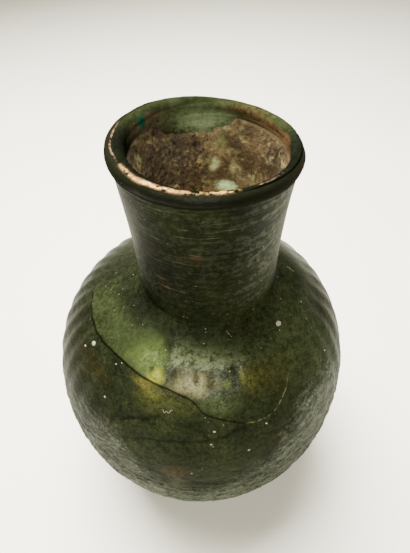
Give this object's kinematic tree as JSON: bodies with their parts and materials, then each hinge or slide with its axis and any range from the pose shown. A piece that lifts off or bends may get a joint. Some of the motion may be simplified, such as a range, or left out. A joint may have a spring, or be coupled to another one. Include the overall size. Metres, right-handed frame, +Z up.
{
  "type": "roman glass bottle",
  "caption": "Small ancient blown glass bottle with a round, softly ribbed body, a short wide neck and a thick rounded lip, in dark weathered green.",
  "frame": {"origin": "centre of the bottle's box at the underside of its foot ring", "axes": "+Z up through the body's axis, +X to the viewer's right and +Y away from the viewer when the bottle is seen as in the picture"},
  "size_m": [0.09, 0.09, 0.1293],
  "materials": {
    "weathered_glass": "glossy dark olive-green glass, streaked, pitted and weathered, with soil in the neck"
  },
  "bodies": {
    "root": {"bottle": "weathered_glass"}
  },
  "joints": []
}
